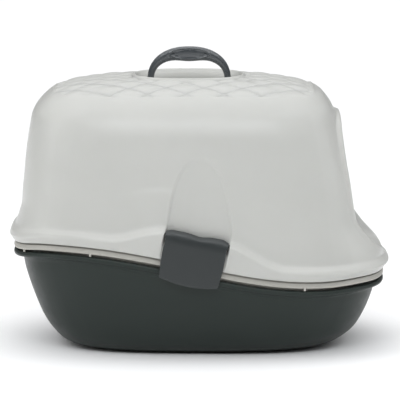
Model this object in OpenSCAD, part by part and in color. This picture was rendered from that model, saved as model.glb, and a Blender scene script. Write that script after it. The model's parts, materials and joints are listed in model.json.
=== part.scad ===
// Hooded cat litter box: tray, rim frame, hood, two side latches and a folding handle.
// X runs along the length with the entrance at +X, Y across the width, Z up from the floor.

/* [Overall size] */
// Length over the hood's skirt
box_len = 590; // [580:1:596]
// Width over the hood's skirt
box_w = 390; // [388:1:392]
// Height of the crown above the floor; the recess's rim lies 2.4 mm lower
roof_z = 420; // [415:1:430]

/* [Seam between tray and hood] */
// Height of the hood's lower edge at mid-length
seam_z = 148.5; // [146:0.5:150]
// How far the wavy edge rises behind and drops in front
seam_wave = 27.5; // [24:0.5:28]

/* [Walls] */
// Thickness of the hood's wall
hood_t = 3; // [2.5:0.1:3]
// Thickness of the tray's wall
tray_t = 3; // [2.5:0.1:3]

/* [Entrance] */
// Width of the entrance at its foot
door_w = 218; // [200:1:224]
// Width of the entrance at its top
door_top_w = 186; // [176:1:196]
// Lowest point of the entrance
door_low = 147; // [146:1:156]
// Highest point of the entrance
door_high = 352; // [330:1:354]

/* [Handle] */
// Span over the handle's two legs
handle_w = 130; // [126:1:130]
// Height of the handle above its pivot
handle_h = 53; // [48:1:54]
// Thickness of the handle
handle_t = 13; // [11:0.5:13]
// Diameter of the handle's pivot pins
handle_pin_d = 7; // [6:0.5:7.5]

/* [Latches] */
// Width of a latch
latch_w = 97; // [90:1:97]
// Length of a latch from its hinge down
latch_h = 71.5; // [69:0.5:74]
// Diameter of a latch's hinge pins
latch_pin_d = 5; // [4:0.5:5]

/* [Hidden] */

grey_light = [0.78, 0.78, 0.76];
grey_dark = [0.22, 0.24, 0.235];
grey_mid = [0.29, 0.31, 0.31];

// Running clearance of a pin in its bore, on the radius
pin_gap = 0.05;
half_l = box_len / 2;
half_w = box_w / 2;
// The seam's quarter wave, how far its middle lies behind the middle of the box, and its dip
// round both ends
seam_quarter = 200;
seam_shift = 10;
seam_dip = 4;
dip_in = 235;
dip_out = 290;
// The skirt swells up into a mound round each latch
mound_h = 26;
mound_in = 45;
mound_out = 134;
// Height over the seam at which the mound is fully raised
mound_rise = 12;
// Middle of the roof, and the height over the seam at which the hood starts to lean to it
roof_x = -17;
lean_from = 195;
roof_h = roof_z - seam_z;

// Latch hinge: middle of its axis on the right-hand side, and its tilt along the seam
latch_pos = [-4, -189, 187];
latch_tilt = 11.5;
barrel_r = 8.5;
// Half width, foot and top of the recessed arch above each latch, and the place of its face
arch_half = 50;
arch_foot = 165;
arch_top = 307;
arch_y = 180;
arch_curve = 0.0005;
arch_fade = 282;
arch_min = 30;
// Below this height the recess leans with the latch, and is wider
lean_z = 205;
niche_more = 3.6;

// Handle pivot
pivot_x = -16;
pivot_z = roof_z - 12;

// ---------- helpers ----------
function limit(lo, hi, v) = min(hi, max(lo, v));
function ease(lo, hi, v) = let (t = limit(0, 1, (v - lo) / (hi - lo))) t * t * (3 - 2 * t);
function mix(a, b, t) = a + (b - a) * t;
function backwards(list) = [for (i = [len(list) - 1:-1:0]) list[i]];
function seam(x) =
    seam_z - seam_wave * sin(90 * (x + seam_shift) / seam_quarter)
    - seam_dip * ease(dip_in, dip_out, abs(x));
function swell(x) = mound_h * (1 - ease(mound_in, mound_out, abs(x - latch_pos[0])));

// Point of a rounded oblong ring in direction a: lengths behind and in front, half width, exponent
function ring_point(a, rear, front, half, n) =
    let (len = cos(a) >= 0 ? front : rear)
    let (r = pow(pow(abs(cos(a)) / len, n) + pow(abs(sin(a)) / half, n), -1 / n))
    [r * cos(a), r * sin(a)];

// Columns round a ring: an angle each, except across the latches, where they are shares of the
// arch's half width and the side they are on
side_x = [-240, -205, -165, -130, -100, -80];
end_y = [-165, -140, -112, -80, -40, 0, 40, 80, 112, 140, 165];
arch_share = [-1.2, -1, -0.96, -0.5, 0, 0.5, 0.96, 1, 1.2];
floor_share = 0.97;
near_side = concat([for (x = side_x) [atan2(-188, x)]],
                   [for (k = arch_share) [k, -1]],
                   [for (x = backwards(side_x)) [atan2(-188, -x)]]);
far_side = concat([for (x = side_x) [atan2(188, -x)]],
                  [for (k = arch_share) [-k, 1]],
                  [for (x = backwards(side_x)) [atan2(188, x)]]);
columns = concat(near_side, [for (y = end_y) [atan2(y, 265)]],
                 far_side, [for (y = backwards(end_y)) [atan2(y, -265)]]);
// The same columns as plain angles
turns = [for (c = columns) len(c) == 1 ? c[0] : atan2(c[1] * 188, c[0] * arch_half)];

// Side faces between equal rings, each ring joined to the next
function ring_sides(m, n, closed) = [for (j = [0:m - (closed ? 1 : 2)], i = [0:n - 1])
    let (k = (i + 1) % n, l = (j + 1) % m)
    each [[j * n + i, l * n + k, j * n + k], [j * n + i, l * n + i, l * n + k]]];

// Closed ring-shaped skin: the last ring joins the first
module hoop_skin(rings)
    polyhedron([for (r = rings) each r], ring_sides(len(rings), len(rings[0]), true));

// Closed skin whose first and last rings are each capped by one point
module capped_skin(rings, first, last) {
    n = len(rings[0]);
    m = len(rings);
    caps = [for (i = [0:n - 1])
        let (k = (i + 1) % n)
        each [[m * n, i, k], [m * n + 1, (m - 1) * n + k, (m - 1) * n + i]]];
    polyhedron(concat([for (r = rings) each r], [first, last]),
               concat(ring_sides(m, n, false), caps));
}

// Places a child in a latch's own frame: hinge axis along X, outside at -Y
module at_latch(side)
    scale([1, side, 1]) translate(latch_pos) rotate([0, latch_tilt, 0]) children();

// Extrudes an outline drawn in Y and Z along X, centred
module along_x(length)
    rotate([90, 0, 90]) linear_extrude(length, center = true) children();

module x_cylinder(from, to, r)
    translate([from, 0, 0]) rotate([0, 90, 0]) cylinder(h = to - from, r = r, $fn = 48);

// ---------- tray ----------
// Each row: share of the wall's height, length behind and in front, half width, exponent
tray_rows = [
    [0, 120, 110, 66, 2.8],
    [0, 172, 165, 103, 2.9],
    [0.015, 194, 187, 118, 2.9],
    [0.06, 212, 207, 131, 3],
    [0.14, 226, 223, 142, 3],
    [0.3, 243, 243, 154, 3],
    [0.55, 258.5, 258, 167, 3],
    [0.8, 270, 268, 178, 3],
    [1, 276, 274, 186, 3]];
// Each row: height over the seam, length behind and in front, half width
rim_rows = [
    [-21.4, 281, 279, 187.6],
    [-22.8, 287.6, 285, 189.2],
    [-19.4, 289, 286.5, 189.8],
    [-16.6, 287.6, 285, 188.8],
    [-15.4, 284, 281.5, 186.6],
    [-15.4, 276.5, 274.5, 184.8],
    [-16.4, 273, 271, 183.2]];
rim_depth = 22.5;
// Exponents of the tray's rim and of the frame
rim_n = 3;
frame_n = 3.05;

function tray_ring(row, t) = [for (a = turns)
    let (in = t * ease(0, 0.06, row[0]))
    let (p = ring_point(a, row[1] - in, row[2] - in, row[3] - in, row[4]))
    [p[0], p[1], mix(t, seam(p[0]) - rim_depth, row[0])]];
function seam_ring(row, n) = [for (a = turns)
    let (p = ring_point(a, row[1], row[2], row[3], n))
    [p[0], p[1], seam(p[0]) + row[0]]];

module tray() {
    outer = [for (row = tray_rows) tray_ring(row, 0)];
    rim = [for (row = rim_rows) seam_ring(row, rim_n)];
    inner = [for (row = backwards(tray_rows)) tray_ring(row, tray_t)];
    color(grey_dark)
        capped_skin(concat(outer, rim, inner), [0, 0, 0], [0, 0, tray_t]);
}

// ---------- rim frame ----------
// Each row: height over the seam, length behind and in front, half width
frame_rows = [
    [-9.5, 288.5, 286.5, 188.6],
    [-1.4, 288.5, 286.5, 188.6],
    [-0.6, 287.7, 285.7, 187.8],
    [-0.6, 267.6, 265.6, 176.2],
    [6, 267.6, 265.6, 176.2],
    [6, 265, 263, 173.6],
    [-3.4, 265, 263, 173.6],
    [-3.4, 267, 265, 178.4],
    [-26, 267, 265, 178.4],
    [-26, 269.6, 267.6, 181],
    [-3.4, 269.6, 267.6, 181],
    [-3.4, 286, 284, 186.1],
    [-9.5, 286, 284, 186.1]];
// Pegs that carry the frame on the tray's rim: how far along the box they stand
peg_x = [-268, -165, 159];
peg_d = 4;
// Half length and half width of the line on which the pegs stand
peg_end = 286.4;
peg_half = 186.4;

module rim_frame() {
    color(grey_light) {
        hoop_skin([for (row = frame_rows) seam_ring(row, frame_n)]);
        for (side = [-1, 1], x = peg_x) {
            half = peg_half * pow(1 - pow(abs(x) / peg_end, frame_n), 1 / frame_n);
            translate([x, side * half, seam(x) - 15]) cylinder(h = 8.4, d = peg_d, $fn = 24);
        }
    }
}

// ---------- hood ----------
// Each row: height over the seam, share of the seam's wave, set-in behind, in front and at the
// sides, exponent, share of the wall's thickness taken downwards
hood_rows = [
    [0, 1, 6, 8, 3.6, 3.05, 0],
    [4, 1, 3, 4.5, 1, 3, 0],
    [9, 1, 0, 0, 0, 3, 0],
    [13, 1, 0.8, 3, 0.6, 3, 0.1],
    [16, 1, 1.8, 6, 3, 3.05, 0.3],
    [19, 1, 4, 9, 7, 3.1, 0.5],
    [22, 1, 7.5, 10, 10.5, 3.15, 0.4],
    [27, 1, 10.5, 11.5, 12.3, 3.2, 0.2],
    [36, 1, 13.5, 16.5, 13.3, 3.25, 0.1],
    [54, 1, 19, 30.5, 14.5, 3.35, 0.1],
    [76, 0.9, 20.5, 45, 16.5, 3.4, 0],
    [97, 0.6, 22, 50.5, 19, 3.4, 0],
    [122, 0.35, 24, 56.5, 21.5, 3.4, 0],
    [146, 0.2, 26, 64, 24, 3.4, 0],
    [172, 0.05, 29, 72.5, 27.5, 3.4, 0],
    [195, 0, 32.5, 80.5, 31, 3.4, 0.05],
    [217, 0, 37.5, 86.5, 39, 3.4, 0.25],
    [235, 0, 51, 97.5, 51, 3.35, 0.5],
    [249, 0, 68.5, 112.5, 67, 3.3, 0.75],
    [259, 0, 96, 141, 87, 3.2, 0.9],
    [266, 0, 138, 179, 111, 3, 1]];
// Rings of the roof's middle and of the handle's recess: depth under the roof, half length,
// half width, exponent, and how far the inner skin stands outside
recess_rows = [
    [3.8, 101, 80, 2.6, 0],
    [2.4, 93, 76.5, 2.45, 0],
    [3, 88, 72, 2.3, 2],
    [6.5, 82.5, 65.5, 2.2, 6],
    [14, 79, 61, 2.2, 6],
    [20, 76, 58, 2.2, 6],
    [21.5, 70, 52, 2.2, 4]];

function hood_lean(h) = roof_x * ease(lean_from, roof_h, h);
// Middle and half width of the recess above and behind a latch, which leans with the latch
function arch_x(z) = latch_pos[0] - tan(latch_tilt) * (latch_pos[2] - min(z, lean_z));
function arch_w(z) =
    let (t = limit(0, 1, (z - arch_foot) / (arch_top - arch_foot)))
    max(arch_min, arch_half * pow(1 - pow(t, 2.2), 0.43))
        + niche_more * (1 - ease(lean_z - 15, lean_z + 10, z));
function hood_z(row, x) =
    seam_z + row[0] + row[1] * (seam(x) - seam_z + swell(x) * ease(0, mound_rise, row[0]));
// Point of the hood's skin on a row and a column, t inside the outer face
function hood_point(row, col, t) =
    let (cx = hood_lean(row[0]), down = row[6] * t, in = t * sqrt(1 - row[6] * row[6]))
    let (rear = half_l - row[2] + cx - in, front = half_l - row[3] - cx - in)
    let (half = half_w - row[4] - in, n = row[5])
    len(col) == 1
        ? let (p = ring_point(col[0], rear, front, half, n), x = p[0] + cx)
          [x, p[1], hood_z(row, x) - down]
        : let (z = hood_z(row, col[0] * arch_half), arched = z < arch_top - 2)
          let (w = arched ? arch_w(z) + t : arch_half * half / half_w)
          let (x = (arched ? arch_x(z) : 0) + col[0] * w)
          let (y = half * pow(1 - pow(abs(x - cx) / (x > cx ? front : rear), n), 1 / n))
          let (face = min(y, arch_y - arch_curve * pow(z - 150, 2) - t))
          let (fade = ease(arch_fade, arch_top, z))
          [x, col[1] * (arched && abs(col[0]) < floor_share ? mix(face, y, fade) : y),
           hood_z(row, x) - down];
function recess_ring(row, t) = [for (a = turns)
    let (grow = t > 0 ? row[4] : 0)
    let (p = ring_point(a, row[1] + grow, row[1] + grow, row[2] + grow, row[3]))
    [p[0] + roof_x, p[1], roof_z - row[0] - t]];

module hood_skin() {
    outer = concat([for (row = hood_rows) [for (c = columns) hood_point(row, c, 0)]],
                   [for (row = recess_rows) recess_ring(row, 0)]);
    inner = concat([for (row = hood_rows) [for (c = columns) hood_point(row, c, hood_t)]],
                   [for (row = recess_rows) recess_ring(row, hood_t)]);
    floor_z = roof_z - 22;
    capped_skin(concat(backwards(inner), outer), [roof_x, 0, floor_z - hood_t],
                [roof_x, 0, floor_z]);
}

// Outline of the entrance in Y and Z, narrower at its top and rounder at its foot
door_mid = 240;
function door_point(a) =
    let (p = ring_point(a, 1, 1, 1, a > 180 ? 2.3 : 3.2))
    let (reach = p[1] < 0 ? door_mid - door_low : door_high - door_mid)
    [p[0] * mix(door_w, door_top_w, (p[1] + 1) / 2) / 2, door_mid + p[1] * reach];

// Bored bosses for the pins: from and to along the hinge axes, and radius
boss_from = 49.8;
boss_to = 57;
boss_r = 5.3;
lug_from = 66;
lug_to = 79;
lug_r = 6.5;

module hood() {
    color(grey_light) difference() {
        union() {
            hood_skin();
            for (side = [-1, 1], end = [-1, 1])
                at_latch(side) scale([end, 1, 1]) x_cylinder(boss_from, boss_to, boss_r);
            for (end = [-1, 1]) translate([pivot_x, 0, pivot_z]) scale([end, 1, 1]) {
                x_cylinder(lug_from, lug_to, lug_r);
                translate([lug_from, -lug_r + 0.3, -11.5])
                    cube([lug_to - lug_from, 2 * lug_r - 0.6, 11.5]);
            }
        }
        translate([180, 0, 0]) rotate([90, 0, 90]) linear_extrude(150)
            polygon([for (a = [0:6:354]) door_point(a)]);
        for (side = [-1, 1], end = [-1, 1])
            at_latch(side) scale([end, 1, 1])
                x_cylinder(boss_from - 3, boss_to - 1, latch_pin_d / 2 + pin_gap);
        for (end = [-1, 1])
            translate([pivot_x, 0, pivot_z]) scale([end, 1, 1])
                x_cylinder(lug_from - 1, lug_to - 2, handle_pin_d / 2 + pin_gap);
    }
}

// ---------- carry handle ----------
// Width of a leg at its foot, height of the grip at its ends, and how much deeper it is in the
// middle, which is twice grip_mid long
leg_in = 9.5;
grip_in = 18;
grip_deep = 3.8;
grip_mid = 26;
// Station of the bow at angle b: a rounded section between the outer and the inner curve
function bow_section(b) =
    let (o = ring_point(b, handle_w / 2, handle_w / 2, handle_h, 2.25))
    let (leg = handle_w / 2 - leg_in, i = ring_point(b, leg, leg, handle_h - grip_in, 2.6))
    let (under = i[1] - grip_deep * (1 - ease(0, grip_mid, abs(i[0]))))
    [for (c = [0:22.5:359])
        let (s = ring_point(c, 1, 1, 1, 3.2))
        [mix(i[0], o[0], (s[0] + 1) / 2), s[1] * handle_t / 2, mix(under, o[1], (s[0] + 1) / 2)]];

module carry_handle() {
    stations = [for (b = [0:7.5:180]) bow_section(b)];
    first = [handle_w / 2 - leg_in / 2, 0, 0];
    color(grey_mid) translate([pivot_x, 0, pivot_z]) {
        capped_skin(stations, first, [-first[0], 0, 0]);
        for (side = [-1, 1]) scale([side, 1, 1]) {
            x_cylinder(handle_w / 2 - leg_in, handle_w / 2, handle_t / 2);
            x_cylinder(handle_w / 2 - 1, lug_to - 2.5, handle_pin_d / 2);
        }
    }
}

// ---------- latches ----------
latch_t = 3;
latch_low_w = 92;
latch_bow = 6;
plate_y = -8.2;
nose_len = 60;
nose_reach = 3.9;
nose_z = -65.5;

module latch(side) {
    half = latch_w / 2;
    bottom = [for (k = [-10:10]) [k / 10 * latch_low_w / 2, -latch_h + latch_bow * pow(k / 10, 2)]];
    color(grey_mid) at_latch(side) {
        along_x(latch_w - 1) difference() {
            circle(barrel_r, $fn = 64);
            circle(barrel_r - latch_t, $fn = 64);
            translate([-1, -20]) square([20, 19]);
        }
        translate([0, plate_y + latch_t, 0]) rotate([90, 0, 0]) linear_extrude(latch_t)
            polygon(concat([[half - 0.3, -0.5], [0.3 - half, -0.5]], bottom));
        translate([-nose_len / 2, plate_y + latch_t - 0.5, nose_z])
            cube([nose_len, nose_reach + 0.5, 4]);
        for (end = [-1, 1]) scale([end, 1, 1]) {
            x_cylinder(half - 4, half, barrel_r - 0.4);
            x_cylinder(half - 1, boss_to - 2, latch_pin_d / 2);
        }
    }
}
module latch_left() latch(-1);
module latch_right() latch(1);

tray();
rim_frame();
hood();
carry_handle();
latch_left();
latch_right();
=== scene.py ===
"""Hooded cat litter box: tray, rim frame, hood, two side latches and a folding handle.

The shapes are worked out in millimetres on the CAD model's sizes and formulas, at a finer pitch
and with the moulded detail that the CAD leaves out, and turned into metres at the end.
"""
import json
import math

import bmesh
import bpy
import numpy as np
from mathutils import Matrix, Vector


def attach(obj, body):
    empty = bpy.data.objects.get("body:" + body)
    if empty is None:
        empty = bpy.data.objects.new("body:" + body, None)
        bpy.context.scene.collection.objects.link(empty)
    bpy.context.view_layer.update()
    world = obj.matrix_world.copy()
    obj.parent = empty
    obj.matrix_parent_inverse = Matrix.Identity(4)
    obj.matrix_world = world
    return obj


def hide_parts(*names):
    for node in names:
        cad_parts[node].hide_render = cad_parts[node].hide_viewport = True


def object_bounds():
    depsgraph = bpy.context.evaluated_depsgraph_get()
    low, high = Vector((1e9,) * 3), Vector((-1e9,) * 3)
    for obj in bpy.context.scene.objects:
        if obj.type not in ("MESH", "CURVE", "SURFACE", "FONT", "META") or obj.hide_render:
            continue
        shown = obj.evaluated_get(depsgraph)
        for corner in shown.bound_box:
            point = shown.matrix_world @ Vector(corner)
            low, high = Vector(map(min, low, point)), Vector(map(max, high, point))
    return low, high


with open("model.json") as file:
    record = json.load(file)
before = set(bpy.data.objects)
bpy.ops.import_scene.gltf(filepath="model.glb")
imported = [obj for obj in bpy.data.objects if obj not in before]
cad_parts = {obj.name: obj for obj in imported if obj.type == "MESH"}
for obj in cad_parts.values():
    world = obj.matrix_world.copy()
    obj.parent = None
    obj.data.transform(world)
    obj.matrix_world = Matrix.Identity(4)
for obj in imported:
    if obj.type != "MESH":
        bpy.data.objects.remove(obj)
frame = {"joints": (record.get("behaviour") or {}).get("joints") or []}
cad_low, cad_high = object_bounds()
joints = {j["name"]: j for j in frame["joints"]}

# ---------------------------------------------------------------- sizes shared with the CAD, mm
HALF_L, HALF_W, ROOF_Z = 295.0, 195.0, 420.0
# the seam: middle height, height of its wave, a quarter of its length, shift, dip at both ends
SEAM_Z, SEAM_WAVE, SEAM_QUARTER, SEAM_SHIFT = 148.5, 27.5, 200.0, 10.0
SEAM_DIP, DIP_IN, DIP_OUT = 4.0, 235.0, 290.0
# the skirt's swell by the latches: height, full within, gone beyond, full at this height
MOUND_H, MOUND_IN, MOUND_OUT, MOUND_RISE = 26.0, 45.0, 134.0, 12.0
HOOD_T, TRAY_T = 3.0, 3.0
# middle of the roof, and the height over the seam from which the rings move towards it
ROOF_X, LEAN_FROM = -17.0, 195.0
ROOF_H = ROOF_Z - SEAM_Z
# depth of the tray's wall top under the seam
RIM_DEPTH = 22.5
# the arch over a latch: half width, foot and top over the floor, place of its face
ARCH_HALF, ARCH_FOOT, ARCH_TOP, ARCH_Y, ARCH_CURVE = 50.0, 165.0, 307.0, 180.0, 0.0005
ARCH_MID_Z, ARCH_TOP_H, LEAN_Z = 150.0, 190.0, 205.0
# behind a latch's plate the arch is a little wider and its floor comes forward
NICHE_MORE, PLATE_BACK, PLATE_FROM, PLATE_TO = 1.0, 192.4, 19.0, 9.0
# columns nearer than the first follow the arch's outline, and those past the second don't
FOLLOW_NEAR, FOLLOW_FAR, FOLLOW_HALF = 54.0, 92.0, 24.0
LATCH = np.array(joints["latch_right_swing"]["pos_m"]) * 1000
LATCH_TILT = math.radians(11.5)
HANDLE = np.array(joints["handle_fold"]["pos_m"]) * 1000


# ---------------------------------------------------------------- helpers
def ease(low, high, value):
    """Smooth step from 0 at low to 1 at high."""
    t = np.clip((value - low) / (high - low), 0, 1)
    return t * t * (3 - 2 * t)


def mix(a, b, t):
    """From a to b by the share t."""
    return a + (b - a) * t


def spline(rows, u):
    """Smooth curve through rows, at each u counted in rows."""
    rows = np.asarray(rows, float)
    i = np.clip(np.floor(u).astype(int), 0, len(rows) - 2)
    f = (u - i)[..., None]
    p0, p1 = rows[np.maximum(i - 1, 0)], rows[i]
    p2, p3 = rows[i + 1], rows[np.minimum(i + 2, len(rows) - 1)]
    return 0.5 * (2 * p1 + (p2 - p0) * f + (2 * p0 - 5 * p1 + 4 * p2 - p3) * f**2
                  + (3 * p1 - p0 - 3 * p2 + p3) * f**3)


def oblong(a, rear, front, half, n):
    """Rounded oblong ring round the origin, in direction a."""
    c, s = np.cos(a), np.sin(a)
    length = np.where(c >= 0, front, rear)
    r = ((np.abs(c) / length) ** n + (np.abs(s) / half) ** n) ** (-1 / n)
    return r * c, r * s


def seam(x):
    """Height of the seam between the hood and the rim frame."""
    wave = np.sin(np.pi / 2 * (x + SEAM_SHIFT) / SEAM_QUARTER)
    return SEAM_Z - SEAM_WAVE * wave - SEAM_DIP * ease(DIP_IN, DIP_OUT, np.abs(x))


def swell(x):
    """How much the hood's skirt rises towards the latches."""
    return MOUND_H * (1 - ease(MOUND_IN, MOUND_OUT, np.abs(x - LATCH[0])))


def span(low, high, step):
    """Evenly spaced values from low up to, but without, high."""
    return np.linspace(low, high, max(1, round((high - low) / step)), endpoint=False)


def columns(step, fine, finest):
    """Directions round a ring: closer across the latches, closest at the edges of the arches."""
    side = np.concatenate([span(-246, -66, step), span(-66, -42, finest), span(-42, 42, fine),
                           span(42, 66, finest), span(66, 246, step), [246]])
    end = np.append(span(-168, 168, step), 168)
    return np.concatenate([np.arctan2(-188.0, side), np.arctan2(end, 265.0),
                           np.arctan2(188.0, side[::-1]), np.arctan2(end[::-1], -265.0)])


def grid_faces(m, n, closed_u=False, closed_v=True):
    """Quads of a grid of m rows and n columns, numbered row by row."""
    j, i = np.meshgrid(np.arange(m if closed_u else m - 1), np.arange(n if closed_v else n - 1),
                       indexing="ij")
    k, l = (i + 1) % n, (j + 1) % m
    return np.stack([j * n + i, j * n + k, l * n + k, l * n + i], -1).reshape(-1, 4)


def capped(stack):
    """Closed skin through a stack of rings, with a point in the middle of both ends."""
    m, n = stack.shape[:2]
    verts = np.concatenate([stack.reshape(-1, 3), stack[0].mean(0)[None], stack[-1].mean(0)[None]])
    faces = [tuple(f) for f in grid_faces(m, n)]
    faces += [((k + 1) % n, k, m * n) for k in range(n)]
    faces += [((m - 1) * n + k, (m - 1) * n + (k + 1) % n, m * n + 1) for k in range(n)]
    return verts, faces


def block(centre, size, around=24, layers=8):
    """Small block with rounded edges, as a squashed superellipsoid."""
    phi = np.linspace(-np.pi / 2, np.pi / 2, layers + 1)[:, None]
    a = (np.arange(around) / around * 2 * np.pi)[None]

    def power(v, e):
        return np.sign(v) * np.abs(v) ** e

    e = 0.35
    pts = np.stack([power(np.cos(phi), e) * power(np.cos(a), e) * size[0] / 2,
                    power(np.cos(phi), e) * power(np.sin(a), e) * size[1] / 2,
                    power(np.sin(phi), e) * size[2] / 2 + 0 * a], -1) + np.array(centre)
    return pts.reshape(-1, 3), grid_faces(layers + 1, around)


def lathe_x(outline, end, around=40):
    """Solid of revolution about X through (x, radius) points, mirrored for end = -1."""
    a = np.arange(around) / around * 2 * np.pi
    pts = np.array([[(end * px, r * math.cos(b), r * math.sin(b)) for b in a]
                    for px, r in outline])
    return pts.reshape(-1, 3), grid_faces(len(outline), around)


def join(parts):
    """Points and faces of several parts, each a pair of points and faces, as one pair."""
    verts, faces, first = [], [], 0
    for points, own in parts:
        verts.append(points)
        faces += [tuple(i + first for i in face) for face in own]
        first += len(points)
    return np.concatenate(verts), faces


def mesh_object(name, verts, faces, material):
    """A mesh from points in millimetres; faces is a list of tuples or arrays of indices."""
    mesh = bpy.data.meshes.new(name)
    mesh.from_pydata((np.asarray(verts) * 0.001).tolist(), [], [list(map(int, f)) for f in faces])
    mesh.validate()
    mesh.update()
    mesh.materials.append(material)
    mesh.polygons.foreach_set("use_smooth", [True] * len(mesh.polygons))
    obj = bpy.data.objects.new(name, mesh)
    bpy.context.scene.collection.objects.link(obj)
    return obj


def point_normals(verts, faces):
    """Unit normal at each point, from the quads round it."""
    v, f = np.asarray(verts, float), np.asarray(faces)
    across = np.cross(v[f[:, 2]] - v[f[:, 0]], v[f[:, 3]] - v[f[:, 1]])
    total = np.zeros_like(v)
    for k in range(4):
        np.add.at(total, f[:, k], across)
    return total / np.maximum(np.linalg.norm(total, axis=1, keepdims=True), 1e-9)


def fix_normals(obj):
    """Turns all faces outwards."""
    bm = bmesh.new()
    bm.from_mesh(obj.data)
    bmesh.ops.recalc_face_normals(bm, faces=bm.faces)
    bm.to_mesh(obj.data)
    bm.free()


def place(obj, body, slot_name, *nodes):
    """Ties a piece to its body and hides the CAD nodes it replaces; slot_name is not used."""
    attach(obj, body)
    if nodes:
        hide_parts(*nodes)
    return obj


# ---------------------------------------------------------------- materials
def plastic(name, base, dark, rough, grain, grain_size, gloss, coat=0.0, edge_highlight=0.3, milky=0.0):
    """Moulded plastic: slow colour drift, fine grain in the bump, uneven gloss, and a painted
    highlight that makes pointy edges paler;
    milky plastic lets some light through its wall."""
    mat = bpy.data.materials.new(name)
    mat.use_nodes = True
    nt = mat.node_tree
    nodes, links = nt.nodes, nt.links
    shader = nodes["Principled BSDF"]
    shader.inputs["IOR"].default_value = 1.49
    shader.inputs["Coat Weight"].default_value = coat
    shader.inputs["Coat Roughness"].default_value = 0.22
    shader.inputs["Specular IOR Level"].default_value = gloss
    shader.inputs["Subsurface Weight"].default_value = milky
    shader.inputs["Subsurface Radius"].default_value = (1.0, 1.0, 0.9)
    shader.inputs["Subsurface Scale"].default_value = 0.006
    where = nodes.new("ShaderNodeTexCoord").outputs["Object"]

    def noise(scale, detail, roughness=0.5):
        n = nodes.new("ShaderNodeTexNoise")
        n.inputs["Scale"].default_value = scale
        n.inputs["Detail"].default_value = detail
        n.inputs["Roughness"].default_value = roughness
        links.new(where, n.inputs["Vector"])
        return n.outputs["Fac"]

    def ramp(value, low, high, a, b):
        r = nodes.new("ShaderNodeMapRange")
        r.inputs["From Min"].default_value = low
        r.inputs["From Max"].default_value = high
        r.inputs["To Min"].default_value = a
        r.inputs["To Max"].default_value = b
        links.new(value, r.inputs["Value"])
        return r.outputs["Result"]

    def blend(factor, a, b):
        m = nodes.new("ShaderNodeMix")
        m.data_type = "RGBA"
        links.new(factor, m.inputs[0])
        for socket, value in ((m.inputs[6], a), (m.inputs[7], b)):
            if isinstance(value, tuple):
                socket.default_value = (*value, 1)
            else:
                links.new(value, socket)
        return m.outputs[2]

    colour = blend(ramp(noise(9, 4), 0.35, 0.7, 0, 1), base, dark)
    colour = blend(ramp(noise(900, 2), 0.3, 0.75, 0, 0.5), colour, dark)
    # painted highlight: pointy edges are blended towards a paler colour, as if they caught the
    # light
    edges = nodes.new("ShaderNodeNewGeometry").outputs["Pointiness"]
    edge_highlight_tint = tuple(min(1.0, c * 1.25 + 0.04) for c in base)
    colour = blend(ramp(edges, 0.515, 0.6, 0, edge_highlight), colour, edge_highlight_tint)
    links.new(colour, shader.inputs["Base Color"])
    links.new(ramp(noise(55, 5, 0.6), 0.3, 0.7, rough - 0.05, rough + 0.06),
              shader.inputs["Roughness"])
    fine = noise(grain_size, 3, 0.65)
    bump = nodes.new("ShaderNodeBump")
    bump.inputs["Strength"].default_value = grain
    bump.inputs["Distance"].default_value = 0.0004
    links.new(fine, bump.inputs["Height"])
    links.new(bump.outputs["Normal"], shader.inputs["Normal"])
    return mat


hood_mat = plastic("hood_plastic", (0.51, 0.512, 0.487), (0.487, 0.489, 0.465), 0.33, 0.3, 1500,
                   gloss=0.5, coat=0.03, milky=0.3)
frame_mat = plastic("frame_plastic", (0.43, 0.42, 0.385), (0.40, 0.39, 0.355), 0.45, 0.25, 1500,
                    gloss=0.25, coat=0.03)
tray_mat = plastic("tray_plastic", (0.022, 0.029, 0.026), (0.019, 0.026, 0.023), 0.38, 0.3, 1600,
                   gloss=0.24, edge_highlight=0.25)
latch_mat = plastic("latch_plastic", (0.02, 0.0245, 0.025), (0.017, 0.0215, 0.022), 0.34, 0.4,
                    1300, gloss=0.5)
handle_mat = plastic("handle_plastic", (0.04, 0.048, 0.054), (0.034, 0.041, 0.047), 0.24, 0.15,
                     1700, gloss=0.9, coat=0.35)


# ---------------------------------------------------------------- hood
# height over the seam, share of the seam's wave, set-in behind, in front, at the sides, exponent
HOOD_ROWS = [
    (0, 1, 6, 8, 2, 3.05), (4, 1, 3, 4.5, 0.5, 3), (9, 1, 0, 0, 0, 3), (13, 1, 0.8, 3, 0.6, 3),
    (16, 1, 1.8, 6, 3, 3.05), (19, 1, 4, 9, 7, 3.1), (22, 1, 7.5, 10, 10.5, 3.15),
    (27, 1, 10.5, 11.5, 12.3, 3.2), (36, 1, 13.5, 16.5, 13.3, 3.25),
    (54, 1, 19, 30.5, 14.5, 3.35), (76, 0.9, 20.5, 45, 16.5, 3.4), (97, 0.6, 22, 50.5, 19, 3.4),
    (122, 0.35, 24, 56.5, 21.5, 3.4), (146, 0.2, 26, 64, 24, 3.4),
    (172, 0.05, 29, 72.5, 27.5, 3.4), (195, 0, 32.5, 80.5, 31, 3.4),
    (217, 0, 37.5, 86.5, 39, 3.4), (235, 0, 51, 97.5, 51, 3.35),
    (249, 0, 68.5, 112.5, 67, 3.3), (259, 0, 96, 141, 87, 3.2), (266, 0, 138, 179, 111, 3)]
# the middle of the roof: depth under it, half length, half width, exponent
RECESS_ROWS = [
    (3.9, 93, 80, 2.6), (3.7, 88, 78.4, 2.5), (1.8, 86, 77, 2.45), (0.9, 84.2, 75.4, 2.4),
    (1.8, 82.6, 73.6, 2.35), (4.2, 81.6, 71.2, 2.3), (7, 80.8, 67.4, 2.25), (11, 80, 64, 2.2),
    (15, 79, 61.6, 2.2), (18.7, 78, 60, 2.2), (21, 75, 57, 2.2), (21.8, 70, 52, 2.2),
    (22, 40, 30, 2), (22, 3, 2.5, 2)]
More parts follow.
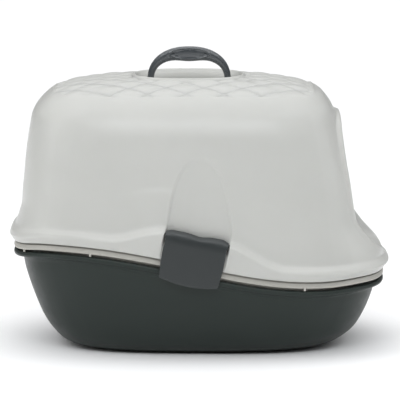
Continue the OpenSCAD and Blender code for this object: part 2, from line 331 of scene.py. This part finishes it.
# the entrance: height over the seam of its lowest, widest and highest point, half angle, and the
# exponents of its outline below and above the widest point
DOOR_LOW, DOOR_MID, DOOR_HIGH, DOOR_ANGLE = 22.5, 105.0, 203.5, math.radians(23.5)
DOOR_N_LOW, DOOR_N = 2.3, 3.2
PATCH_LOW, PATCH_HIGH, PATCH_ANGLE = 10.0, 226.0, math.radians(37)
# its edge is turned in: thickness, depth, lean into the opening, rounding; and the skirt's rounding
EDGE_T, EDGE_IN, EDGE_TURN, EDGE_ROUND = 2.2, 22.0, 6.0, 1.4
SKIRT_ROUND = 0.4
# places of the rings between the entrance's outline and the grid, as shares of the way
LAYERS = (0, 0.025, 0.055, 0.09, 0.13, 0.175, 0.225, 0.28, 0.34, 0.41, 0.49, 0.58, 0.68, 0.79,
          0.9)
# the collar: its height at six heights over the seam, its rounded edge and where it falls away
COLLAR_AT, COLLAR_H = (30, 60, 100, 145, 190, 204), (1.2, 1.8, 3.2, 5.0, 7.0, 7.0)
COLLAR_ROUND, COLLAR_FALL = 2.5, (7, 14)
# the quilted panel on the roof: size of a diamond, relief, middle and half length
QUILT_X, QUILT_Y, QUILT_H, QUILT_X0 = 58.0, 40.0, 3.6, -21.0
PANEL_LOW, PANEL_EDGE = 246.5, 250.5
PANEL_X, PANEL_HALF = -25.0, 198.0
# half axes of the plain oval that the quilt leaves round the handle's recess
PLAIN_X, PLAIN_Y = 90.0, 80.0


def hood_table():
    """Hood and recess rows in one form: height, wave, lengths from the ring's middle, exponent,
    place of the ring's middle."""
    table = []
    for h, wave, rear, front, side, n in HOOD_ROWS:
        cx = ROOF_X * float(ease(LEAN_FROM, ROOF_H, h))
        table.append((h, wave, HALF_L - rear + cx, HALF_L - front - cx, HALF_W - side, n, cx))
    for depth, length, half, n in RECESS_ROWS:
        table.append((ROOF_H - depth, 0, length, length, half, n, ROOF_X))
    return np.array(table, float)


HOOD = hood_table()


def arch_x(z):
    """Middle of the arch above a latch; it leans with the latch up to LEAN_Z."""
    return LATCH[0] - math.tan(LATCH_TILT) * (LATCH[2] - np.minimum(z, LEAN_Z))


def arch_reach(z):
    """Half width of the arch at its foot, with the niche's extra width low down."""
    return ARCH_HALF + NICHE_MORE * (1 - ease(LEAN_Z - 15, LEAN_Z + 10, z))


def arch_w(z):
    """Half width of the arch above a latch at a height."""
    t = np.clip((z - ARCH_FOOT) / (ARCH_TOP - ARCH_FOOT), 0, 1)
    return arch_reach(z) * (1 - t**2.2) ** 0.43


def hood_z(h, wave, x):
    """Height over the floor of a point h over the seam; wave is its share of the seam's wave."""
    return SEAM_Z + h + wave * (seam(x) - SEAM_Z + swell(x) * ease(0, MOUND_RISE, h))


def arch_depth(x, z):
    """How far a point is let into the arch above a latch, from 0 on the wall to 1 inside."""
    dx, reach = np.abs(x - arch_x(z)), arch_reach(z)
    t = np.clip((z - ARCH_FOOT) / (ARCH_TOP - ARCH_FOOT), 0, 1.2)
    level = (dx / reach) ** 2.33 + t**2.2 - 1
    slope = np.hypot(2.33 * (dx / reach) ** 1.33 / reach, 2.2 * t**1.2 / (ARCH_TOP - ARCH_FOOT))
    away = level / np.maximum(slope, 1e-4)
    edge = mix(1.3, 4.5, ease(200, 226, z))
    return 1 - ease(-edge, 0.35 * edge, away)


def hood_surface(u, a):
    """Outer face of the hood at row u and direction a, before the moulded relief."""
    h, wave, rear, front, half, n, cx = np.moveaxis(spline(HOOD, u), -1, 0)
    rear, front, half = (np.maximum(v, 1) for v in (rear, front, half))
    x, y = oblong(a, rear, front, half, n)
    flat = x / half * HALF_W
    z = hood_z(h, wave, x + cx)
    # the columns across a latch follow the arch's outline
    near = (1 - ease(FOLLOW_NEAR, FOLLOW_FAR, np.abs(flat))) * (np.abs(np.sin(a)) > 0.5)
    follow = near * (1 - ease(ARCH_TOP - 6, ARCH_TOP + 22, z))
    x = x + follow * (arch_x(z) + x * (np.maximum(arch_w(z), FOLLOW_HALF) / ARCH_HALF - 1))
    length = np.where(x >= 0, front, rear)
    y_side = half * np.maximum(1 - np.minimum(np.abs(x) / length, 1) ** n, 0) ** (1 / n)
    y = np.where(near > 0, np.sign(y) * y_side, y)
    x = x + cx
    z = hood_z(h, wave, x)
    face = np.minimum(np.abs(y), ARCH_Y - ARCH_CURVE * (z - ARCH_MID_Z) ** 2)
    level = z + math.tan(LATCH_TILT) * (x - LATCH[0])
    above_plate = ease(LATCH[2] - PLATE_FROM, LATCH[2] - PLATE_TO, level)
    face = mix(np.minimum(np.abs(y), PLATE_BACK), face, above_plate)
    let_in = arch_depth(x, z) * (near > 0) * (h < ARCH_TOP_H)
    y = np.where(let_in > 0, np.sign(y) * mix(np.abs(y), face, let_in), y)
    return np.stack([x, y, z], -1)


def row_at(h):
    """Row number, counted along HOOD, of a height over the seam below the roof."""
    u = np.linspace(0, len(HOOD_ROWS) - 1, 2000)
    return np.interp(h, spline(HOOD, u)[:, 0], u)


def quilt(x, y):
    """Height of the quilted relief on the roof at x, y."""
    p, q = (x - QUILT_X0) / QUILT_X + y / QUILT_Y, (x - QUILT_X0) / QUILT_X - y / QUILT_Y
    pillow = (np.abs(np.sin(np.pi * p)) * np.abs(np.sin(np.pi * q))) ** 0.45
    ends = 1 - ease(PANEL_HALF - 3, PANEL_HALF, np.abs(x - PANEL_X))
    ring = np.hypot((x - ROOF_X) / PLAIN_X, y / PLAIN_Y)
    return QUILT_H * (pillow - 1) * ends * ease(1.0, 1.06, ring)


def panel_bead(x, y):
    """Fine raised line that closes the quilted panel at its two ends."""
    line = np.exp(-((np.abs(x - PANEL_X) - PANEL_HALF - 1.5) / 1.5) ** 2)
    return 0.9 * line * (1 - ease(92, 100, np.abs(y)))


def hood_grid():
    """Rows and directions of the hood's points: rows lie closer over the mound and the roof."""
    roof = len(HOOD_ROWS) - 4
    rows = np.unique(np.concatenate([
        np.arange(0, 8, 0.3), np.arange(8, 15, 0.15), np.arange(15, roof, 0.2),
        np.arange(roof, roof + 4, 0.075), np.arange(roof + 4, len(HOOD) - 0.99, 0.25)]))
    return rows, columns(2.8, 2.8, 1.5)


def entrance_window(rows, angles):
    """Part of the grid that gives way to the entrance: its corner rows and columns, and the grid's
    places along its border."""
    j0, j1 = (int(np.argmin(np.abs(rows - row_at(h)))) for h in (PATCH_LOW, PATCH_HIGH))
    front = np.where(np.abs(angles) < PATCH_ANGLE)[0]
    i0, i1 = int(front.min()), int(front.max())
    edge = ([(j0, i) for i in range(i0, i1)] + [(j, i1) for j in range(j0, j1)]
            + [(j1, i) for i in range(i1, i0, -1)] + [(j, i0) for j in range(j1, j0, -1)])
    return j0, j1, i0, i1, np.array(edge)


def entrance_layers(rows, angles, edge):
    """Rings of points from the entrance's outline out to the window's border, and the outline's
    height over the seam."""
    u_edge, a_edge = rows[edge[:, 0]], angles[edge[:, 1]]
    u_mid = row_at(DOOR_MID)
    rise = u_edge - u_mid
    rise = rise / np.where(rise < 0, u_mid - u_edge.min(), u_edge.max() - u_mid)
    turn = np.arctan2(rise, a_edge / a_edge.max())
    c, s = np.cos(turn), np.sin(turn)
    n_door = np.where(s < 0, DOOR_N_LOW, DOOR_N)
    r = (np.abs(c) ** n_door + np.abs(s) ** n_door) ** (-1 / n_door)
    h_door = DOOR_MID + np.where(s < 0, DOOR_MID - DOOR_LOW, DOOR_HIGH - DOOR_MID) * r * s
    u_door, a_door = row_at(h_door), DOOR_ANGLE * r * c
    layers = np.stack([hood_surface(mix(u_door, u_edge, t), mix(a_door, a_edge, t))
                       for t in LAYERS])
    return layers, h_door


def collar(layers, h_door):
    """Height of the raised collar round the entrance, ring by ring; it is highest at the top."""
    away = np.zeros(layers.shape[:2])
    away[1:] = np.cumsum(np.linalg.norm(np.diff(layers, axis=0), axis=2), axis=0)
    raised = np.interp(h_door, COLLAR_AT, COLLAR_H)
    return raised * mix(0.72, 1, ease(0, COLLAR_ROUND, away)) * (1 - ease(*COLLAR_FALL, away))


def strips(chain):
    """Quads between each closed loop of points in a chain and the next."""
    return [np.stack([one, np.roll(one, -1), np.roll(two, -1), two], -1)
            for one, two in zip(chain, chain[1:])]


def skirt_rings(outer, inner):
    """Rounded lower edge between the hood's outer and inner skin."""
    mid, arm = (outer + inner) / 2, (outer - inner) / 2
    down = np.array([0, 0, -SKIRT_ROUND])
    return [mid + arm * math.cos(phi) + down * math.sin(phi)
            for phi in np.radians((36, 72, 108, 144))]


def entrance_rings(outer, inner, back, inward):
    """The entrance's turned-in edge, from the outer skin round to the inner skin."""
    front = [outer + inward * EDGE_T * math.sin(phi) + back * (1 - math.cos(phi)) * EDGE_ROUND
             for phi in np.radians((30, 60, 90))]
    face = [inner + back * EDGE_IN * t + inward * (EDGE_T + EDGE_TURN * t)
            for t in (0, 0.3, 0.6, 0.95)]
    end = [inner + back * EDGE_IN + inward * (EDGE_T * 0.5 + EDGE_TURN)]
    rear = [inner + back * EDGE_IN * t + inward * EDGE_TURN * t for t in (0.95, 0.6, 0.3)]
    return front + face + end + rear


def build_hood():
    """The hood's outer and inner skin, with its relief and the edges that join them."""
    rows, angles = hood_grid()
    m, n = len(rows), len(angles)
    grid = hood_surface(rows[:, None] + 0 * angles[None], angles[None] + 0 * rows[:, None])
    j0, j1, i0, i1, edge = entrance_window(rows, angles)
    layers, h_door = entrance_layers(rows, angles, edge)
    p, start = len(edge), m * n
    verts = np.concatenate([grid.reshape(-1, 3), layers.reshape(-1, 3)])
    total = len(verts)
    quads = grid_faces(m, n).reshape(m - 1, n, 4)
    keep = np.ones((m - 1, n), bool)
    keep[j0:j1, i0:i1] = False
    last = total - p + np.arange(p)
    border = edge[:, 0] * n + edge[:, 1]
    # the layers run outwards where the grid runs upwards, so their quads turn the other way
    faces = np.concatenate([quads[keep], start + grid_faces(len(LAYERS), p)[:, ::-1],
                            strips([last, border])[0][:, ::-1]])
    used = np.unique(faces)
    normal = point_normals(verts, faces)
    inner = verts - HOOD_T * normal
    # moulded relief: the quilted roof, and the collar round the entrance
    x, y = verts[:start, 0], verts[:start, 1]
    height = np.repeat(spline(HOOD, rows)[:, 0], n)
    on_roof = np.repeat(rows < len(HOOD_ROWS) + 1, n)
    relief = np.zeros(total)
    relief[:start] = (quilt(x, y) + panel_bead(x, y)) * on_roof
    relief[:start] *= ease(PANEL_LOW, PANEL_EDGE, height)
    relief[start:] = collar(layers, h_door).ravel()
    outer = verts + normal * relief[:, None]
    outer[:, 0] = np.clip(outer[:, 0], -HALF_L, HALF_L)
    # join outer and inner skin round the entrance and the skirt, and close the roof
    door, skirt, top = start + np.arange(p), np.arange(n), (m - 1) * n + np.arange(n)
    inward = verts[door] - verts[door + p]
    inward /= np.linalg.norm(inward, axis=1, keepdims=True)
    extra, lips = [], []
    first = 2 * total
    for loop, new_rings in (
            (door, entrance_rings(outer[door], inner[door], -normal[door], inward)),
            (skirt, skirt_rings(outer[skirt], inner[skirt]))):
        chain = [loop]
        for ring in new_rings:
            chain.append(first + np.arange(len(loop)))
            first += len(loop)
            extra.append(ring)
        lips += strips(chain + [loop + total])
    points = np.concatenate([outer, inner] + extra
                            + [outer[top].mean(0)[None], inner[top].mean(0)[None]])
    caps = [(top[k], top[(k + 1) % n], first) for k in range(n)]
    caps += [(top[(k + 1) % n] + total, top[k] + total, first + 1) for k in range(n)]
    shell = [tuple(f) for f in np.concatenate([faces, faces[:, ::-1] + total] + lips)] + caps
    # points of the grid inside the window belong to no face, so they are left out
    keep_points = np.ones(len(points), bool)
    keep_points[:2 * total] = False
    keep_points[used] = True
    keep_points[used + total] = True
    new_index = np.cumsum(keep_points) - 1
    shell = [tuple(new_index[list(f)]) for f in shell]
    hood = mesh_object("hood_shell", points[keep_points], shell, hood_mat)
    fix_normals(hood)
    return place(hood, "hood", "hood_plastic", "hood")


# ---------------------------------------------------------------- tray and rim frame
# share of the wall's height, height over it, length behind and in front, half width, exponent
TRAY_OUT = [
    (0, 3, 120, 112, 60, 2.8), (0, 3, 150, 142, 84, 2.8), (0, 2.2, 158, 150, 90, 2.85),
    (0, 0, 163, 155, 95, 2.85), (0, 0, 172, 165, 103, 2.9), (0.015, 0, 194, 187, 118, 2.9),
    (0.06, 0, 212, 207, 131, 3), (0.14, 0, 226, 223, 142, 3), (0.3, 0, 243, 243, 154, 3),
    (0.55, 0, 258.5, 258, 167, 3), (0.8, 0, 270, 268, 178, 3), (0.93, 0, 273.8, 271.7, 183.3, 3),
    (1, -4, 274.6, 272.4, 185.1, 3), (1, -3.4, 275.6, 273.3, 185.9, 3),
    (1, -0.6, 276.2, 274, 186.2, 3), (1, 0.2, 277.6, 275.3, 186.5, 3),
    (1, 0.5, 281, 279, 187.4, 3), (1, 0, 286.2, 283.7, 188.8, 3), (1, 0.2, 287.8, 285.3, 189.3, 3),
    (1, 1.2, 288.8, 286.3, 189.7, 3), (1, 3.1, 289, 286.5, 189.8, 3),
    (1, 5, 288.2, 285.7, 189.3, 3), (1, 6.4, 286.4, 283.9, 188.2, 3),
    (1, 7, 283.6, 281.1, 186.6, 3), (1, 7, 277.5, 275.5, 185.2, 3), (1, 6.5, 275, 273, 184, 3),
    (1, 4.5, 273.4, 271.4, 183.3, 3)]
TRAY_IN = [
    (0, 0, 100, 92, 50, 2.8), (0, 0, 172, 165, 103, 2.9), (0.015, 0, 194, 187, 118, 2.9),
    (0.06, 0, 212, 207, 131, 3), (0.14, 0, 226, 223, 142, 3), (0.3, 0, 243, 243, 154, 3),
    (0.55, 0, 258.5, 258, 167, 3), (0.8, 0, 270, 268, 178, 3), (1, 0, 276, 274, 186, 3)]
FRAME_N = 3.05
# height over the seam, length behind and in front, half width
FRAME_ROWS = [
    (-11, 287.6, 285.6, 187.7), (-10.5, 288.4, 286.4, 188.5), (-8.6, 288.7, 286.7, 188.8),
    (-7.4, 288.1, 286.1, 188.2), (-4, 287.9, 285.9, 188.0), (-3, 287.3, 285.3, 187.4),
    (-2.6, 286, 284, 187.0), (-2.2, 284, 282, 186.6), (3.4, 283, 281, 186),
    (4, 282.4, 280.4, 185.4), (4, 280, 278, 183.2), (3.4, 279.4, 277.4, 182.6),
    (-0.6, 279, 277, 182.2), (-0.6, 269, 267, 177.4),
    (0, 267.6, 265.6, 176.2), (5.4, 267.6, 265.6, 176.2), (6, 266.8, 264.8, 175.4),
    (5.9, 265.6, 263.6, 174.2), (5.2, 265, 263, 173.6), (-2.8, 265, 263, 173.6),
    (-3.4, 265.6, 263.6, 174.2), (-3.4, 266.5, 264.5, 177.8), (-4.2, 267, 265, 178.4),
    (-25.4, 267, 265, 178.4), (-26, 267.6, 265.6, 179), (-26, 269, 267, 180.4),
    (-25.2, 269.6, 267.6, 181), (-4.2, 269.6, 267.6, 181), (-3.4, 270.4, 268.4, 181.8),
    (-3.4, 285.2, 283.2, 185.3), (-4.2, 286, 284, 186.1), (-10.4, 286, 284, 186.1),
    (-11, 286.6, 284.6, 186.7)]
PEG_X, PEG_END, PEG_HALF = (-268, -165, 159), 286.8, 187.0
PEG_LOW, PEG_SIZE = 11.8, (3.4, 4.5, 6)


def rings(rows, angles, height, inset=0.0):
    """Stack of rings; height(row values, x) gives a ring's z."""
    out = []
    for f, dz, rear, front, half, n in rows:
        k = inset * float(ease(0, 0.06, f))
        x, y = oblong(angles, rear - k, front - k, half - k, n)
        out.append(np.stack([x, y, height(f, dz, x)], -1))
    return np.array(out)


def refine(rows, parts):
    """Rows with more between them, on a smooth curve."""
    u = np.linspace(0, len(rows) - 1, (len(rows) - 1) * parts + 1)
    return spline(rows, u)


def build_tray():
    """The tub, as one skin down its outside, over its rim and down its inside."""
    angles = columns(5.0, 5.0, 4.0)

    def wall(f, dz, x):
        return np.maximum(f, 0) * (seam(x) - RIM_DEPTH) + dz

    def inner_wall(f, dz, x):
        return mix(TRAY_T, seam(x) - RIM_DEPTH, np.maximum(f, 0)) + dz

    low = refine(TRAY_OUT[3:12], 5)
    outside = rings(np.concatenate([TRAY_OUT[:3], low, refine(TRAY_OUT[12:], 2)]), angles, wall)
    inside = rings(refine(TRAY_IN, 4)[::-1], angles, inner_wall, TRAY_T)
    tray = mesh_object("tray_tub", *capped(np.concatenate([outside, inside])), tray_mat)
    return place(tray, "tray", "tray_plastic", "tray")


def build_frame():
    """The ring between tray and hood, with the hoop inside the tray, and its pegs."""
    angles = columns(5.0, 5.0, 4.0)
    stack = []
    for dz, rear, front, half in FRAME_ROWS:
        x, y = oblong(angles, rear, front, half, FRAME_N)
        stack.append(np.stack([x, y, seam(x) + dz], -1))
    stack = np.array(stack)
    m, n = stack.shape[:2]
    parts = [(stack.reshape(-1, 3), grid_faces(m, n, closed_u=True))]
    # pegs between the frame's lower edge and the tray's rim
    for side in (-1, 1):
        for px in PEG_X:
            half = PEG_HALF * (1 - (abs(px) / PEG_END) ** FRAME_N) ** (1 / FRAME_N)
            parts.append(block((px, side * half, float(seam(px)) - PEG_LOW), PEG_SIZE))
    obj = mesh_object("rim_frame_ring", *join(parts), frame_mat)
    fix_normals(obj)
    return place(obj, "rim_frame", "frame_plastic", "rim_frame")


# ---------------------------------------------------------------- latches
BARREL_R, LATCH_T, LATCH_LEN, LATCH_BOW = 8.5, 2.8, 71.5, 6.0
LATCH_HALF_FOLD, LATCH_HALF_TOP, LATCH_HALF_LOW = 48.4, 46.2, 44.8
FOLD = 13.0
# bulge of the plate's sides, share of the sheet's thickness that is left at its edge
PLATE_BULGE, THIN_EDGE = 1.8, 0.55
# the finger dip in the top: depth, place, width; the rounded shoulders: drop, from, to
DIP_DEEP, DIP_X, DIP_W = 2.6, 4.0, 13.0
SHOULDER_DROP, SHOULDER_IN, SHOULDER_OUT = 3.2, 36.0, 48.5
# the nose that grips the tray's rim: how far behind the plate, how far below the hinge, size
NOSE_IN, NOSE_LOW, NOSE_SIZE = 2.4, 63.5, (60, 5.2, 4)
# an end cheek with its hinge pin, turned about the hinge's axis: place along it, radius
CHEEK = [(40.5, 0.2), (40.5, BARREL_R - 3.6), (41, BARREL_R - 3), (44.4, BARREL_R - 3),
         (45, BARREL_R - 3.6), (45, 2.5), (54.3, 2.45), (55, 1.9), (55, 0.1)]


def latch_profile():
    """Mid-line of the latch's sheet in Y and Z, from inside the hook over the top to the foot."""
    r = BARREL_R - LATCH_T / 2
    arc = np.radians(np.linspace(-8, 90, 16))
    hook = np.stack([r * np.cos(arc), r * np.sin(arc)], -1)
    fall = np.radians(np.linspace(97, 176, 16))
    fold = np.stack([(r - 0.25) * np.cos(fall), (r + FOLD) * np.sin(fall) - FOLD], -1)
    t = np.linspace(0, 1, 28)
    z = mix(fold[-1, 1] - 1.2, -LATCH_LEN, t)
    y = -r + 0.25 + 0.9 * t**2
    return np.concatenate([hook, fold, np.stack([y, z], -1)])


def latch_sheet():
    """Points and faces of a latch's bent sheet, about its hinge, before it is tilted."""
    profile = latch_profile()
    step = np.gradient(profile, axis=0)
    out = np.stack([-step[:, 1], step[:, 0]], -1)
    out /= np.linalg.norm(out, axis=1, keepdims=True)
    out *= -1
    k = np.concatenate([[-1], np.linspace(-0.995, 0.995, 62), [1]])
    along = np.linspace(0, 1, len(profile))
    low = np.clip(-profile[:, 1] / LATCH_LEN, 0, 1)
    plate = mix(LATCH_HALF_TOP, LATCH_HALF_LOW, low**1.3) + PLATE_BULGE * np.sin(np.pi * low)
    half = mix(LATCH_HALF_FOLD, plate, ease(0.05, 0.085, low)) - 3 * (1 - ease(0, 0.35, along))
    skins = []
    for shift in (LATCH_T / 2, -LATCH_T / 2):
        line = profile + out * shift
        pts = np.zeros((len(profile), len(k), 3))
        pts[..., 0] = k[None] * half[:, None]
        pts[..., 1] = line[:, 0][:, None]
        pts[..., 2] = line[:, 1][:, None] + (LATCH_BOW * low[:, None] ** 2) * k[None] ** 2
        # finger dip in the middle of the top, and rounded shoulders
        s = pts[..., 0]
        top = np.clip(pts[..., 2] / BARREL_R, 0, 1)
        dip = DIP_DEEP * np.exp(-(((s - DIP_X) / DIP_W) ** 2))
        dip += SHOULDER_DROP * ease(SHOULDER_IN, SHOULDER_OUT, np.abs(s)) ** 1.5
        pts[..., 2] -= dip * top
        skins.append(pts)
    # thin the outer edges of the sheet so that they look rounded
    m, n = skins[0].shape[:2]
    ends = np.ones((m, n))
    ends[:, [0, -1]] = THIN_EDGE
    ends[[0, -1], :] = THIN_EDGE
    mid = (skins[0] + skins[1]) / 2
    skins = [mid + (sk - mid) * ends[..., None] for sk in skins]
    verts = np.concatenate([s.reshape(-1, 3) for s in skins])
    quads = grid_faces(m, n, closed_v=False)
    rim = ([j * n for j in range(m)] + [(m - 1) * n + i for i in range(1, n)]
           + [j * n + n - 1 for j in range(m - 2, -1, -1)] + [i for i in range(n - 2, 0, -1)])
    rim = np.array(rim)
    wall = np.stack([rim, np.roll(rim, -1), np.roll(rim, -1) + m * n, rim + m * n], -1)
    return verts, np.concatenate([quads, quads[:, ::-1] + m * n, wall])


def build_latch(side, name):
    """A latch with its cheeks, pins and nose; side is 1 for the right one and -1 for its mirror."""
    cheeks = [lathe_x(CHEEK, end) for end in (-1, 1)]
    nose = block((0, -BARREL_R + LATCH_T + NOSE_IN, -NOSE_LOW), NOSE_SIZE, 48, 12)
    local, faces = join([latch_sheet()] + cheeks + [nose])
    c, s = math.cos(LATCH_TILT), math.sin(LATCH_TILT)
    x = local[:, 0] * c + local[:, 2] * s
    z = -local[:, 0] * s + local[:, 2] * c
    y = local[:, 1]
    world = np.stack([x + LATCH[0], side * (y + LATCH[1]), z + LATCH[2]], -1)
    obj = mesh_object(name + "_clip", world, faces, latch_mat)
    fix_normals(obj)
    return place(obj, name, "latch_plastic", name)


# ---------------------------------------------------------------- carry handle
HANDLE_W, HANDLE_H, HANDLE_T, LEG_IN, GRIP_IN = 130.0, 53.0, 13.0, 10.4, 19.6
GRIP_DEEP, GRIP_MID = 3.6, 36.0
# exponents of the bow's outer arch, of its inner arch and of its section
BOW_N, GRIP_N, SECTION_N = 2.25, 2.6, 2.7
# the badge: height over the hinge, half axes, height of its rim and depth of its field
BADGE_Z, BADGE_A, BADGE_B, BADGE_RIM, BADGE_DEEP = 42.0, 30.0, 8.2, 0.8, 1.5
PIN_R, LUG_FROM, LUG_TO, LUG_R = 3.5, 66.0, 79.0, 6.5
# a leg's foot with its pin, turned about the hinge's axis: place along it, radius
FOOT = [(55.8, 0.1), (55.8, 5.6), (56.5, 6.3), (64.4, 6.3), (65, 5.7), (65, PIN_R), (75.7, PIN_R),
        (76.4, 2.9), (76.4, 0.1)]


def handle_section():
    """Ring of points round the bow's section, from -1 to 1 both ways; closer on its two faces."""
    face = np.linspace(-0.93, 0.93, 46)
    turn = np.concatenate([np.linspace(-80, 80, 14), 180 + np.linspace(-80, 80, 14)])
    sx, sy = oblong(np.radians(turn), 1, 1, 1, SECTION_N)
    flat = (1 - np.abs(face) ** SECTION_N) ** (1 / SECTION_N)
    sx = np.concatenate([sx[:14], face[::-1], sx[14:], face])
    sy = np.concatenate([sy[:14], flat, sy[14:], -flat])
    return sx, sy


def build_handle():
    """The bow between an outer and an inner arch, deeper at the grip, with its two pivot feet."""
    b = np.linspace(0, np.pi, 361)
    leg = HANDLE_W / 2 - LEG_IN
    ox, oz = oblong(b, HANDLE_W / 2, HANDLE_W / 2, HANDLE_H, BOW_N)
    ix, iz = oblong(b, leg, leg, HANDLE_H - GRIP_IN, GRIP_N)
    iz = iz - GRIP_DEEP * (1 - ease(0, GRIP_MID, np.abs(ix)))
    sx, sy = handle_section()
    t = (sx + 1) / 2
    x = mix(ix[:, None], ox[:, None], t[None])
    z = mix(iz[:, None], oz[:, None], t[None])
    y = (sy * HANDLE_T / 2)[None] + 0 * x
    # plain oval badge let into both faces of the grip
    e = np.hypot(x / BADGE_A, (z - BADGE_Z) / BADGE_B)
    rim = BADGE_RIM * np.exp(-(((e - 1.02) / 0.08) ** 2))
    inside = -BADGE_DEEP * (1 - ease(0.8, 0.96, e))
    broad = ease(0.72, 0.9, np.abs(y) / (HANDLE_T / 2))
    y = y + np.sign(y) * broad * (rim + inside - BADGE_RIM)
    bow = capped(np.stack([x, y, z], -1))
    points, faces = join([bow] + [lathe_x(FOOT, end) for end in (-1, 1)])
    obj = mesh_object("carry_handle_bow", points + HANDLE, faces, handle_mat)
    fix_normals(obj)
    return place(obj, "carry_handle", "handle_plastic", "carry_handle")


def build_bosses():
    """Bored bosses in the recess, in which the handle turns; they belong to the hood."""
    bore = PIN_R + 0.05
    boss = [(LUG_TO - 3, bore), (LUG_FROM, bore), (LUG_FROM, LUG_R - 0.6),
            (LUG_FROM + 0.6, LUG_R), (LUG_TO + 2, LUG_R), (LUG_TO + 2, bore), (LUG_TO - 3, bore)]
    size = (LUG_TO + 1 - LUG_FROM, 12, 9)
    parts = []
    for end in (-1, 1):
        parts += [lathe_x(boss, end), block((end * (LUG_FROM + LUG_TO + 2) / 2, 0, -10.5), size)]
    points, faces = join(parts)
    bosses = mesh_object("handle_bosses", points + HANDLE, faces, hood_mat)
    fix_normals(bosses)
    place(bosses, "hood", "hood_plastic")


# ---------------------------------------------------------------- stage, light and camera
def build_stage():
    """Plain pale floor."""
    mat = bpy.data.materials.new("floor")
    mat.use_nodes = True
    shader = mat.node_tree.nodes["Principled BSDF"]
    shader.inputs["Base Color"].default_value = (0.93, 0.93, 0.93, 1)
    shader.inputs["Roughness"].default_value = 0.9
    bpy.ops.mesh.primitive_plane_add(size=30, location=(0, 0, cad_low.z - 0.0005))
    floor = bpy.context.object
    floor.name = "floor"
    floor.data.materials.append(mat)


def area_light(name, place_at, aim, size, power, colour):
    """Rectangular light at one place, turned towards another."""
    data = bpy.data.lights.new(name, "AREA")
    data.shape = "RECTANGLE"
    data.size, data.size_y = size
    data.energy = power
    data.color = colour
    obj = bpy.data.objects.new(name, data)
    bpy.context.scene.collection.objects.link(obj)
    obj.location = place_at
    direction = np.array(aim) - np.array(place_at)
    obj.rotation_euler = Vector(direction).to_track_quat("-Z", "Y").to_euler()
    return obj


# strength at the horizon, strength overhead, and how late it rises
SKY_LOW, SKY_HIGH, SKY_POWER = 0.06, 2.2, 2.0


def build_light():
    """Pale sky, brighter overhead than at the horizon, and three soft area lights."""
    world = bpy.data.worlds.new("studio")
    world.use_nodes = True
    nodes, links = world.node_tree.nodes, world.node_tree.links
    back = nodes["Background"]
    back.inputs["Color"].default_value = (0.985, 0.99, 1.0, 1)
    split = nodes.new("ShaderNodeSeparateXYZ")
    links.new(nodes.new("ShaderNodeTexCoord").outputs["Generated"], split.inputs["Vector"])
    clear = nodes.new("ShaderNodeClamp")
    links.new(split.outputs["Z"], clear.inputs["Value"])
    rise = nodes.new("ShaderNodeMath")
    rise.operation = "POWER"
    rise.inputs[1].default_value = SKY_POWER
    links.new(clear.outputs["Result"], rise.inputs[0])
    level = nodes.new("ShaderNodeMath")
    level.operation = "MULTIPLY_ADD"
    level.inputs[1].default_value = SKY_HIGH - SKY_LOW
    level.inputs[2].default_value = SKY_LOW
    links.new(rise.outputs["Value"], level.inputs[0])
    links.new(level.outputs["Value"], back.inputs["Strength"])
    bpy.context.scene.world = world
    area_light("strip", (0.0, -2.3, 1.9), (0, 0, 0.2), (2.6, 0.3), 23, (0.94, 0.97, 1.0))
    area_light("left", (-2.4, -0.7, 1.2), (0, 0, 0.2), (1.0, 1.6), 10, (1.0, 1.0, 1.0))
    area_light("right", (2.4, -0.2, 1.2), (0, 0, 0.2), (1.0, 1.6), 5, (0.95, 0.97, 1.0))


CAMERA_DISTANCE, CAMERA_ELEVATION, AIM_Z = 4.5, math.radians(8.6), 0.215
# width of the view at the object, width of the sensor in mm, and shift as a share of the width
VIEW_WIDTH, SENSOR, SHIFT_X, SHIFT_Y = 0.626, 36.0, 0.00125, 0.0075


def build_camera():
    """Level side view from a little above."""
    data = bpy.data.cameras.new("camera")
    data.sensor_width = SENSOR
    data.lens = CAMERA_DISTANCE / VIEW_WIDTH * SENSOR
    data.shift_x = SHIFT_X
    data.shift_y = SHIFT_Y
    data.clip_end = 50
    camera = bpy.data.objects.new("camera", data)
    bpy.context.scene.collection.objects.link(camera)
    camera.location = (0, -CAMERA_DISTANCE * math.cos(CAMERA_ELEVATION),
                       AIM_Z + CAMERA_DISTANCE * math.sin(CAMERA_ELEVATION))
    camera.rotation_euler = (math.pi / 2 - CAMERA_ELEVATION, 0, 0)
    bpy.context.scene.camera = camera


bpy.context.scene.view_settings.view_transform = "Standard"
build_camera()
build_stage()
build_light()
build_tray()
build_frame()
build_hood()
build_handle()
build_bosses()
build_latch(1, "latch_right")
build_latch(-1, "latch_left")
